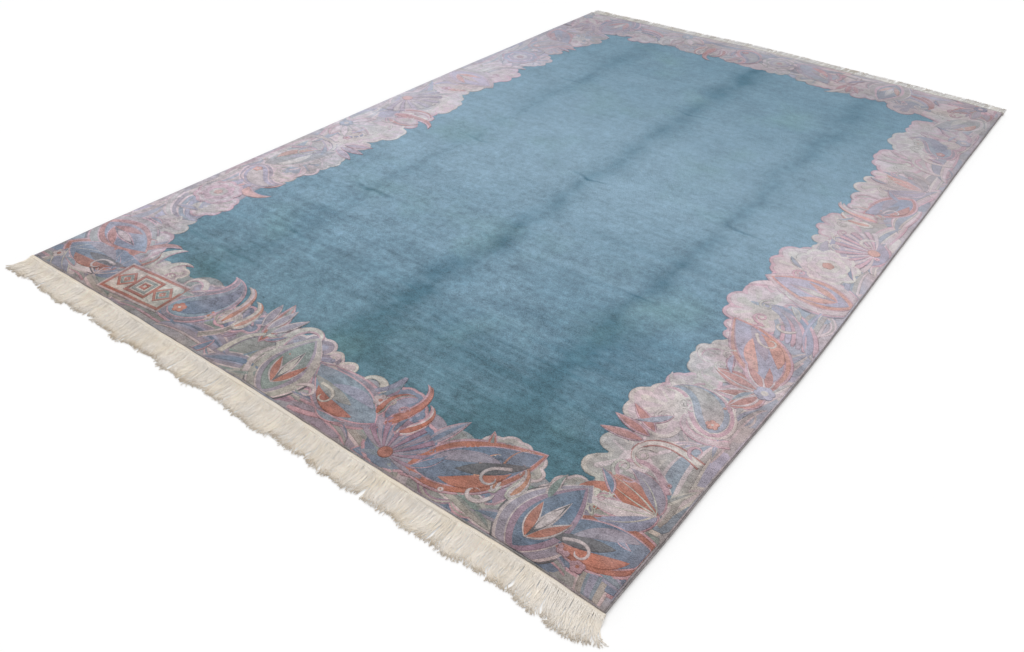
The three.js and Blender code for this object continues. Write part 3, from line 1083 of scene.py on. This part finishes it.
# a node group: the shade function takes its inputs as values, and gives its outputs by label
def nodeGroup(name, labels, shade):
    tree = bpy.data.node_groups.new(name, "ShaderNodeTree")

    def addSocket(label, way):
        kind = {"Place": "Vector", "Colour": "Color"}.get(label, "Float")
        tree.interface.new_socket(label, in_out=way, socket_type="NodeSocket" + kind)

    for label in labels:
        addSocket(label, "INPUT")
    given = tree.nodes.new("NodeGroupInput").outputs
    results = shade(*[Value(tree, given[label]) for label in labels])
    for label in results:
        addSocket(label, "OUTPUT")
    made = tree.nodes.new("NodeGroupOutput").inputs
    for label, value in results.items():
        feed(made[label], value)
    return tree


# value by place along the rug, from (place from 0 at the near end to 1 at the far end, value)
def alongRug(y, rows):
    half = rugShape["halfLength"]
    shade = putNode("ValToRGB", {"Fac": remap(y, (-half, half))}, "Color")
    ramp = shade.socket.node.color_ramp
    while len(ramp.elements) < len(rows):
        ramp.elements.new(0.5)
    for stop, (at, share) in zip(ramp.elements, rows):
        stop.position = at
        stop.color = (share, share, share, 1)
    ramp.interpolation = "CARDINAL"
    return shade


# Wool. The noises here and below are rows of what noise takes: low, high, cells to a metre,
# detail, roughness, stretch and shift.
woolLook = {
    "grain": (-1, 1, 340.0, 1),
    "tufts": (-1, 1, 50.0, 5, 0.74, (0.92, 1.0, 1.0)),  # a little longer along the wefts
    "patches": (-1, 1, 9.0, 3),
    "streaks": (-1, 1, 1.0, 4, 0.65, (2.4, 46.0, 20.0)),  # along the wefts
    "depths": (0.16, 0.26, 0.11, 0.08),  # how far each of those lightens or darkens the wool
    "wornAt": (-1.3, 0.4),
    "worn": (1.26, 0.59),  # times all of these by the near end, and past the middle
    # how dark the painted shade on a carved rim is
    "carveShade": 0.33,
    "toneDepth": 0.09,
    "tuftHeight": 0.45,  # in the bump, over that of the grain
    "bump": 0.0022,
}


# wool pile: grain, tufts, patches and weft streaks over a colour, with painted shade where it is
# carved
def shadeWool(place, colour, carve, tone):
    layers = [noise(place, *woolLook[layer]) for layer in ("grain", "tufts", "patches", "streaks")]
    light = sum(layer * depth for layer, depth in zip(layers, woolLook["depths"]))
    light = light * remap(separated(place)[1], woolLook["wornAt"], woolLook["worn"], smooth=True)
    # painted shade on the carved rim
    light = light + tone * woolLook["toneDepth"] - carve * woolLook["carveShade"]
    height = layers[0] + layers[1] * woolLook["tuftHeight"]
    return {"Colour": scaled(colour, light + 1.0), "Height": height}


# Painted sheen and painted shade over the border's wool. Pairs of places are where a change begins
# and where it is complete, in metres from the rug's middle.
sheenLook = {
    "nearEdge": (-1.40, -1.05),  # no painted sheen before this, on a line a little askew
    "askew": -0.13,
    "farEdge": (1.15, 1.38),
    "sides": (-0.9, 0.9),
    "share": (0.36, 0.28, 0.28),  # of the paler colour of the painted sheen, on the left, right and far sides
    "fartherAt": (-0.2, 0.6),
    "farther": (1.0, 1.35),
    "uneven": (0.7, 1.3, 5.0, 3),
    "sheenLeft": (210, 206, 224),
    "sheenRight": (210, 202, 216),
    "drift": (0.0, 0.32, 11.0, 2),  # how far a yarn drifts towards plain grey, here and there
    "plainGrey": (152, 148, 150),
    # painted sheen: how much lighter the wool is, from the near end to the far end: depth and what
    # is taken off
    "sheenLighterBy": (0.5, 0.2),
    "sheenLighter": [(0.0, 0.40), (0.13, 0.62), (0.30, 0.76), (0.47, 0.92), (0.60, 0.77), (0.74, 0.54),
                (0.88, 0.16), (0.95, 0.12), (1.0, 0.34)],
    "tint": (-0.4, 1.4, 4.5, 2),
    "tints": ((1.035, 0.98, 1.0, 1.0), (0.96, 1.01, 1.03, 1.0)),  # rosy and blue, by patches
    # a strip by the near end, and one by the right side's near part, are tinted darker: painted
    # shade
    "nearShade": (-1.488, -1.40),
    "rightShade": (0.93, 0.975),
    "rightShadeEnd": (-0.9, -0.5),
    "shadeTint": (0.93, 0.875, 0.85, 1.0),
}


# Painted sheen on the yarns: none by the near end, most along the left side, and painted shade in
# two strips. Within one yarn the dye also drifts a little towards grey.
def paintSheenAndShade(place, colour):
    x, y = separated(place)
    past = remap(x * sheenLook["askew"] + y, sheenLook["nearEdge"])
    left, right, far = sheenLook["share"]
    bySide = remap(x, sheenLook["sides"], (left, right))
    atEnd = remap(y, sheenLook["farEdge"], smooth=True)
    bySide = bySide + atEnd * (far - bySide)
    share = bySide * remap(y, sheenLook["fartherAt"], sheenLook["farther"]) * past
    share = share * noise(place, *sheenLook["uneven"])
    plain = mixColour(noise(place, *sheenLook["drift"]), colour, linear(sheenLook["plainGrey"]))
    sheenColour = mixColour(remap(x, sheenLook["sides"]),
                      linear(sheenLook["sheenLeft"]), linear(sheenLook["sheenRight"]))
    tint = mixColour(noise(place, *sheenLook["tint"]), *sheenLook["tints"])
    tinted = multiplied(mixColour(share, plain, sheenColour), tint)
    # painted shade in a strip by the near end and in one by the right side's near part
    nearShade = remap(y, sheenLook["nearShade"], (1.0, 0.0))
    rightShade = remap(x, sheenLook["rightShade"])
    rightShade = rightShade * remap(y, sheenLook["rightShadeEnd"], (1.0, 0.0))
    shadeStrip = calc("MAXIMUM", nearShade, rightShade)
    tinted = multiplied(tinted, mixColour(shadeStrip, white, sheenLook["shadeTint"]))
    depth, less = sheenLook["sheenLighterBy"]
    # painted sheen along the rug
    sheenLighter = alongRug(y, sheenLook["sheenLighter"]) * depth - less
    return {"Colour": scaled(tinted, sheenLighter * past + 1.0)}


cottonLook = {
    "twist": (-1, 1, 620, 2),
    "aged": (-1, 1, 16, 3),
    "twistDepth": 0.06,
    "agedDepth": 0.03,
    "toneDepth": 0.05,
    "yellowAt": (-0.5, 1.2),
    "yellow": (1.0, 0.97, 0.90),
    "tipDirtAndShadeAt": (-1.6, -4.6),  # of the strand's tone, for none and for the most
    "tipDirtAndShadeMost": 0.8,
    "tipDirtAndShade": (0.86, 0.74, 0.58),
}


# cotton yarn: fine twist, faint yellowing, and a tone for each strand, tan (dirt and painted
# shade) where that is lowest
def shadeCotton(place, colour, tone):
    twist = noise(place, *cottonLook["twist"])
    aged = noise(place, *cottonLook["aged"])
    light = twist * cottonLook["twistDepth"] + aged * cottonLook["agedDepth"] + 1.0
    light = light + tone * cottonLook["toneDepth"]
    mixed = mixColour(remap(aged, cottonLook["yellowAt"]),
                      colour, multiplied(colour, cottonLook["yellow"]))
    # tan where the tone is lowest, at the tips: partly dirt, partly painted shade
    tips = remap(tone, cottonLook["tipDirtAndShadeAt"], (0.0, cottonLook["tipDirtAndShadeMost"]))
    mixed = mixColour(tips, mixed, multiplied(colour, cottonLook["tipDirtAndShade"]))
    return {"Colour": scaled(mixed, light), "Height": twist}


# a colour given as sRGB, or made by a function of the place
def coloured(colour, place):
    return colour(place) if callable(colour) else linear(colour)


# such a colour, with painted sheen and painted shade over it
def withSheenAndShade(colour):
    def sheened(place):
        inputs = {"Place": place, "Colour": coloured(colour, place)}
        return putNode("Group", inputs, "Colour", node_tree=sheenAndShade)
    return sheened


# a new material, and the place of a point in it
def newMaterial(name):
    material = bpy.data.materials.new(name)
    material.use_nodes = True
    return material, putNode("TexCoord", {}, "Object", material.node_tree)


# feeds the inputs of a material's shader
def feedShader(material, inputs):
    shader = material.node_tree.nodes["Principled BSDF"]
    for label, value in inputs.items():
        feed(shader.inputs[label], value)


yarnShader = {
    "Roughness": 0.95,
    "Specular IOR Level": 0.15,
    "Sheen Weight": 0.06,
    "Sheen Roughness": 0.6,
}
bumpStrength = 0.6


# a material whose colour and bump come from a group; bump is its depth in metres
def yarnMaterial(name, group, colour, bump):
    material, place = newMaterial(name)
    inputs = {"Place": place, "Colour": coloured(colour, place)}
    for item in group.interface.items_tree:
        if item.name in ("Carve", "Tone"):
            inputs[item.name] = putNode("Attribute", {}, "Fac", place.tree,
                                        attribute_name=item.name.lower())
    yarn = putNode("Group", inputs, "Colour", node_tree=group)
    relief = {"Strength": bumpStrength, "Distance": bump, "Height": yarn.beside("Height")}
    normal = putNode("Bump", relief, "Normal")
    feedShader(material, yarnShader | {"Base Color": yarn, "Normal": normal})
    return material


fieldLook = {
    "deep": (83, 122, 142),
    "nearDeep": (85, 120, 132),
    "nearDeepAt": (-1.25, -0.85),
    "pale": (144, 174, 194),
    "green": (126, 164, 166),
    "moss": (-0.5, 0.28, 3.5, 3, 0.5, None, (3.0, 1.0, 0.0)),
    # place from the near end to the far end, and share of the pale colour there: partly abrash,
    # partly painted sheen
    "along": [(0.0, 0.14), (0.12, 0.29), (0.20, 0.50), (0.30, 0.73), (0.37, 0.82), (0.44, 0.98),
              (0.58, 0.94), (0.70, 0.76), (0.82, 0.60), (1.0, 0.47)],
    # the middle of the painted shade of each lengthwise fold, where the pile parts, and how dark
    # it is
    "folds": ((-0.515, 0.18), (0.020, 0.36), (0.530, 0.20)),
    "foldShadeWide": 0.11,
    "foldStray": (-0.03, 0.03, 4.0, 3),
    "foldShadeBroken": (0.35, 1.5, 7.0, 4, 0.6),
    "core": (-0.4, 1.3, 9.0, 4, 0.6, (1.0, 0.3, 1.0), (0.0, 2.0, 1.0)),
    "coreShade": 0.24,  # a thin core of painted shade in a fold, here and there
    "coreShadeWide": 0.042,
    # darker by the right side and paler by the left: places across, dark there, places along
    "sideShade": (((0.15, 0.55), (0.0, 0.20), (-0.6, 0.4)),
                  ((-0.5, -0.1), (-0.12, 0.0), (-0.2, 0.6))),
    "sideShadeKept": (1.0, 0.1),  # of it, from the first place along to the last
    "creaseStray": (-0.030, 0.030, 5.0, 3),
    "creaseBroken": (-0.3, 1.4, 5.0, 3),
    "creaseReach": 0.17,  # from the middle of a fold
    # painted shade of the cross creases, and its width
    "creaseShade": 0.42,
    "creaseShadeWide": 0.0105,
    "creaseHighlight": 0.12,  # painted highlight of the line just before a crease
    "highlightBefore": 2,  # widths of a crease from it to that line's middle
    "highlightWide": 1.6,  # its width, of the crease's
    # clouds, and streaks along the wefts: noise, two places along, and how strong it is there
    "uneven": (((-0.10, 0.10, 3.2, 4, 0.6, (0.7, 1.5, 1.0)), (-1.2, -0.5), (1.9, 1.0)),
               ((-1, 1, 1.0, 5, 0.7, (0.5, 34.0, 1.0)), (-1.2, 0.3), (0.19, 0.05))),
    "edge": 0.10,  # nearer the rim than this the wool is the border's
}


# 1 at no distance, easing to 0 at wide
def eased01(distance, wide):
    return remap(distance, (0.0, wide), (1.0, 0.0), smooth=True)


# The field's colour: paler in the middle of the rug's length, partly abrash and partly painted
# sheen, with painted shade along the folds and fine lines of painted shade, each with a painted
# highlight before it, where a cross crease meets them.
def fieldColour(place):
    look = fieldLook
    x, y = separated(place)
    side = x + noise(place, *look["foldStray"])
    dark, near, coreShades = 0.0, 0.0, 0.0
    # painted shade along each fold, where the pile parts
    for centre, depth in look["folds"]:
        off = abs(side - centre)
        dark = dark + eased01(off, look["foldShadeWide"]) * depth
        near = calc("MAXIMUM", near, eased01(off, look["creaseReach"]))
        coreShades = coreShades + eased01(off, look["coreShadeWide"])
    dark = dark * noise(place, *look["foldShadeBroken"])
    core = calc("MAXIMUM", noise(place, *look["core"]), 0.0)
    dark = dark + coreShades * core * look["coreShade"]
    # paler towards the middle: partly abrash, partly painted sheen
    share = alongRug(y, look["along"]) - dark
    for across, depths, along in look["sideShade"]:
        share = share - remap(x, across, depths) * remap(y, along, look["sideShadeKept"])
    wide = look["creaseShadeWide"]
    across = y + noise(place, *look["creaseStray"])
    lines = 0.0
    # a line of painted shade at each crease, with a painted highlight just before it
    for centre in creases["centre"]:
        off = across - centre
        pale = eased01(abs(off + look["highlightBefore"] * wide), look["highlightWide"] * wide)
        lines = lines + eased01(abs(off), wide) - pale * look["creaseHighlight"]
    lines = lines * near * calc("MAXIMUM", noise(place, *look["creaseBroken"]), 0.0)
    share = share - lines * look["creaseShade"]
    for uneven, at, strong in look["uneven"]:
        share = share + noise(place, *uneven) * remap(y, at, strong)
    deep = mixColour(remap(y, look["nearDeepAt"], (1.0, 0.0)),
                     linear(look["deep"]), linear(look["nearDeep"]))
    field = mixColour(share, deep, linear(look["pale"]))
    moss = calc("MAXIMUM", noise(place, *look["moss"]), 0.0)
    field = mixColour(moss, field, linear(look["green"]))
    rim = calc("LESS_THAN", fromEdge(x, y), look["edge"])
    # the rim is the border's ground, with painted sheen and painted shade
    return mixColour(rim, field, withSheenAndShade(groundColour)(place))


# Soft patches of yarns over a first one: noise, its share, yarn.
groundLook = [
    ((0.0, 1.0, 9.0, 2), 1.0, "lilac"),
    ((-0.3, 1.2, 8.0, 2, 0.5, None, (1.0, 8.0, 0.0)), 0.6, "blush"),
    ((-0.6, 1.0, 7.0, 2, 0.5, None, (5.0, 3.0, 0.0)), 0.5, "sage"),
]
backLook = [
    ((-0.5, 1.5, 16.0, 2), 1.0, "greige"),
    ((-0.7, 0.8, 19.0, 2, 0.5, None, (2.0, 7.0, 0.0)), 1.0, "plum"),
    ((-0.9, 0.6, 21.0, 2, 0.5, None, (6.0, 1.0, 0.0)), 1.0, "coral"),
]


# a first yarn with such patches over it
def patched(place, first, rows):
    colour = linear(yarns[first])
    for patch, share, yarn in rows:
        colour = mixColour(noise(place, *patch) * share, colour, linear(yarns[yarn]))
    return colour


# the border's plain ground
def groundColour(place):
    return patched(place, "greige", groundLook)


knotLook = {
    "across": 0.0032,
    "along": 0.0034,
    "bump": 0.0008,
    "rowsShare": 0.7,  # of the relief
    "light": (0.10, 0.94),  # depth and middle of the painted shade between the knots
    "worn": (-1, 1, 25.0, 3),
    "wornDepth": 0.05,
    "border": 0.225,  # width of the border yarns round the field's
    "borderWavy": (-0.03, 0.03, 11.0, 2),
    "borderSoft": 0.002,
    "field": (112, 142, 158),
}


# the back: rows and columns of knots over a colour, with painted shade between the knots
def shadeBack(place, colour):
    x, y = separated(place)
    rows = calc("SINE", y * (2 * math.pi / knotLook["along"]))
    columns = calc("SINE", x * (2 * math.pi / knotLook["across"]))
    knots = rows * knotLook["rowsShare"] + columns * (1 - knotLook["rowsShare"])
    depth, middle = knotLook["light"]
    # knots lighter, with painted shade between them
    light = knots * depth + middle + noise(place, *knotLook["worn"]) * knotLook["wornDepth"]
    return {"Colour": scaled(colour, light), "Height": knots}


# the field's colour inside, and mixed border yarns outside
def backColour(place):
    inward = fromEdge(*separated(place)) + noise(place, *knotLook["borderWavy"])
    border, soft = knotLook["border"], knotLook["borderSoft"]
    inside = remap(inward, (border - soft, border + soft))
    return mixColour(inside, patched(place, "mauve", backLook), linear(knotLook["field"]))


# colour and depth of the bump
plainYarns = {
    "selvedge wool": ((152, 145, 145), 0.0010),
    "heading cotton": ((238, 228, 215), 0.0006),
    "fringe cotton": ((255, 247, 237), 0.0004),
    "greyed cotton": ((196, 189, 186), 0.0006),
    "bleached cotton": ((236, 234, 233), 0.0006),
}

woolPile = nodeGroup("wool pile", ("Place", "Colour", "Carve", "Tone"), shadeWool)
# painted sheen and painted shade for the border's wool
sheenAndShade = nodeGroup("painted sheen and shade", ("Place", "Colour"), paintSheenAndShade)
cottonYarn = nodeGroup("cotton yarn", ("Place", "Colour", "Tone"), shadeCotton)
knottedBack = nodeGroup("knotted back", ("Place", "Colour"), shadeBack)
fieldPile = yarnMaterial("field pile", woolPile, fieldColour, woolLook["bump"])
groundPile = yarnMaterial("border ground pile", woolPile, withSheenAndShade(groundColour), woolLook["bump"])
rugBack = yarnMaterial("knotted back", knottedBack, backColour, knotLook["bump"])
edgeWool = yarnMaterial("selvedge wool", woolPile, *plainYarns["selvedge wool"])
webCotton, fringeCotton, shadedCotton, paleCotton = [
    yarnMaterial(name, cottonYarn, *plainYarns[name])
    for name in ("heading cotton", "fringe cotton", "greyed cotton", "bleached cotton")]

pileField = knottedPile()
pileField.data.materials.append(fieldPile)
pileField.data.materials.append(rugBack)
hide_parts("rug_body")
print("pile:", len(pileField.data.polygons), "faces")

ground = borderGround()
ground.data.materials.append(groundPile)

# one piece for each yarn of the border, its pads joined
onPile = [ground]
for yarn, parts in yarnSkins.items():
    skins, carves, padTones = zip(*parts)
    piece = makePiece("border_" + yarn, skins, {"carve": carves, "tone": padTones})
    # its wool with painted sheen and painted shade
    wool = yarnMaterial(yarn + " pile", woolPile, withSheenAndShade(yarns[yarn]), woolLook["bump"])
    piece.data.materials.append(wool)
    onPile.append(piece)
    triangles = len(piece.data.loops) - 2 * len(piece.data.polygons)
    print(piece.name, len(parts), "pads,", triangles, "triangles")

for side, label in ((-1, "left"), (1, "right")):
    cord = binding("selvedge", side, "overcast_" + label)
    cord.data.materials.append(edgeWool)
    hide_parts("selvedge_" + label)
    onPile.append(cord)
for end, label in ((-1, "near"), (1, "far")):
    band = binding("heading", end, "heading_" + label)
    band.data.materials.append(webCotton if end < 0 else shadedCotton)
    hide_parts("end_web_" + label)
    strands = fringe(label, "strands_" + label)
    strands.data.materials.append(fringeCotton if end < 0 else paleCotton)
    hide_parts("fringe_" + label)
    onPile += [band, strands]
print("sides and ends done")


studio = {
    "worldLight": 0.75,
    "sunStrength": 1.1,
    "sunAngle": 38.0,  # degrees across, so that its shadows are soft
    "sunFrom": (-0.45, 0.55, 0.80),
    "floorColour": (236, 236, 236),
    "floorMottle": (0.995, 1.005, 3.0, 2),
    "floorGlow": 0.16,
    "floorHalf": 15.0,
    "floorTop": -0.0002,  # just under the rug
}


# even pale light all round, and white where the camera or a gloss sees past the floor
def makeWorld():
    world = bpy.data.worlds.new("studio")
    bpy.context.scene.world = world
    world.use_nodes = True
    tree = world.node_tree
    lit = putNode("Background", {"Color": white, "Strength": studio["worldLight"]}, 0, tree)
    past = putNode("Background", {"Color": white}, 0, tree)
    rays = putNode("LightPath", {}, "Is Camera Ray", tree)
    seen = calc("MAXIMUM", rays, rays.beside("Is Glossy Ray"))
    seen = calc("MAXIMUM", seen, rays.beside("Is Transmission Ray"))
    mixed = putNode("MixShader", {0: seen, 1: lit, 2: past})
    feed(tree.nodes["World Output"].inputs["Surface"], mixed)


# one wide sun, for soft shadows
def makeSun():
    sun = bpy.data.lights.new("soft sun", "SUN")
    sun.energy = studio["sunStrength"]
    sun.angle = math.radians(studio["sunAngle"])
    lamp = bpy.data.objects.new("soft sun", sun)
    lamp.rotation_mode = "QUATERNION"
    lamp.rotation_quaternion = Vector(studio["sunFrom"]).to_track_quat("Z", "Y")
    bpy.context.scene.collection.objects.link(lamp)


# a wide pale floor that glows a little to the camera, so that it comes out white
def makeFloor():
    half, top = studio["floorHalf"], studio["floorTop"]
    mesh = bpy.data.meshes.new("floor")
    corners = [(x * half, y * half, top) for x, y in ((-1, -1), (1, -1), (1, 1), (-1, 1))]
    mesh.from_pydata(corners, [], [(0, 1, 2, 3)])
    floor = bpy.data.objects.new("floor", mesh)
    bpy.context.scene.collection.objects.link(floor)
    material, place = newMaterial("pale floor")
    camera = putNode("LightPath", {}, "Is Camera Ray", place.tree)
    colour = scaled(linear(studio["floorColour"])[:3], noise(place, *studio["floorMottle"]))
    feedShader(material, {"Base Color": colour, "Roughness": 0.95, "Specular IOR Level": 0.0,
                          "Emission Color": white,
                          "Emission Strength": camera * studio["floorGlow"]})
    mesh.materials.append(material)


view = {
    "lens": 30.945,  # millimetres
    "sensor": 36.0,
    "clipEnd": 100.0,
    "from": (1.4390, -2.4105, 1.4102),  # of the rug's middle
    "azimuth": 36.583,
    "elevation": 36.680,
    "right": (0.79548, 0.60575, 0.01653),
}


# the camera looks along forward, its right edge along right, its upper edge along right x forward
def makeCamera():
    camera = bpy.data.cameras.new("camera")
    camera.lens = view["lens"]
    camera.sensor_width = view["sensor"]
    camera.clip_end = view["clipEnd"]
    holder = bpy.data.objects.new("camera", camera)
    turn, tilt = math.radians(view["azimuth"]), math.radians(view["elevation"])
    level = math.cos(tilt)
    forward = Vector((-math.sin(turn) * level, math.cos(turn) * level, -math.sin(tilt)))
    right = Vector(view["right"])
    right = (right - forward * right.dot(forward)).normalized()
    axes = Matrix((right, right.cross(forward), -forward)).transposed()
    place = Vector(view["from"]) + Vector((shift[0], shift[1], 0))
    holder.matrix_world = Matrix.Translation(place) @ axes.to_4x4()
    bpy.context.scene.collection.objects.link(holder)
    bpy.context.scene.camera = holder


makeWorld()
makeSun()
makeFloor()
makeCamera()
bpy.context.scene.view_settings.view_transform = "Standard"
print("studio ready")
